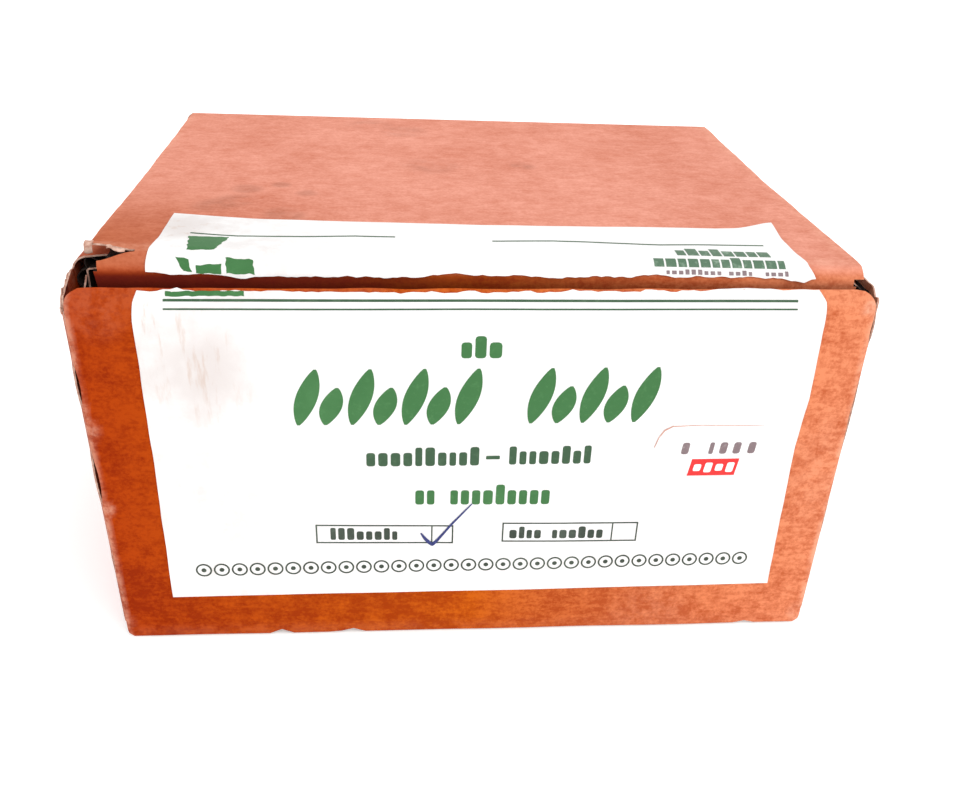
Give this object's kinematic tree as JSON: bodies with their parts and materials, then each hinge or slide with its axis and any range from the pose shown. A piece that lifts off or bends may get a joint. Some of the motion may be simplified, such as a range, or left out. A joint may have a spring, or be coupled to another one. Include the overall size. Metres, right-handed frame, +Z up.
{
  "type": "corrugated tuck-end carton",
  "caption": "Small closed corrugated cardboard carton with a tuck-in lid and bottom, folding dust flaps and a torn pasted paper label.",
  "frame": {"origin": "centre of the footprint, on the surface the carton stands on", "axes": "+X to the right seen from the front, the labelled front faces -Y, +Z up"},
  "size_m": [0.152, 0.1224, 0.0862],
  "materials": {
    "outer_board": "red-brown kraft liner, matt, rubbed",
    "inner_board": "plain kraft inner liner, matt",
    "label_paper": "uncoated white paper, printed green",
    "sticker_paper": "smooth white self-adhesive paper"
  },
  "bodies": {
    "tube": {"front_panel": "outer_board", "back_panel": "outer_board", "left_panel": "outer_board", "right_panel": "outer_board", "glue_flap": "inner_board", "front_label": "label_paper", "price_sticker": "sticker_paper"},
    "lid": {"lid_panel": "outer_board", "lid_label": "label_paper"},
    "lid_tuck": {"lid_tuck_flap": "outer_board"},
    "top_dust_left": {"top_dust_flap_left": "inner_board"},
    "top_dust_right": {"top_dust_flap_right": "inner_board"},
    "bottom": {"bottom_panel": "outer_board"},
    "bottom_tuck": {"bottom_tuck_flap": "outer_board"},
    "bottom_dust_left": {"bottom_dust_flap_left": "inner_board"},
    "bottom_dust_right": {"bottom_dust_flap_right": "inner_board"}
  },
  "joints": [
    {"name": "lid_hinge", "type": "hinge", "parent": "tube", "child": "lid", "pos_m": [0, 0.061, 0.086], "axis": [-1, 0, 0], "range_deg": [0, 180]},
    {"name": "lid_tuck_crease", "type": "hinge", "parent": "lid", "child": "lid_tuck", "pos_m": [0.001, -0.0544, 0.0829], "axis": [1, 0, 0], "range_deg": [0, 16]},
    {"name": "top_left_dust_crease", "type": "hinge", "parent": "tube", "child": "top_dust_left", "pos_m": [-0.0732, 0, 0.0801], "axis": [0, 1, 0], "range_deg": [0, 80]},
    {"name": "top_right_dust_crease", "type": "hinge", "parent": "tube", "child": "top_dust_right", "pos_m": [0.0732, 0, 0.0801], "axis": [0, -1, 0], "range_deg": [0, 80]},
    {"name": "bottom_hinge", "type": "hinge", "parent": "tube", "child": "bottom", "pos_m": [0, 0.061, 0], "axis": [1, 0, 0], "range_deg": [0, 180]},
    {"name": "bottom_tuck_crease", "type": "hinge", "parent": "bottom", "child": "bottom_tuck", "pos_m": [0, -0.0544, 0.0031], "axis": [-1, 0, 0], "range_deg": [0, 16]},
    {"name": "bottom_left_dust_crease", "type": "hinge", "parent": "tube", "child": "bottom_dust_left", "pos_m": [-0.0732, 0, 0.0059], "axis": [0, -1, 0], "range_deg": [0, 80]},
    {"name": "bottom_right_dust_crease", "type": "hinge", "parent": "tube", "child": "bottom_dust_right", "pos_m": [0.0732, 0, 0.0059], "axis": [0, 1, 0], "range_deg": [0, 80]}
  ]
}
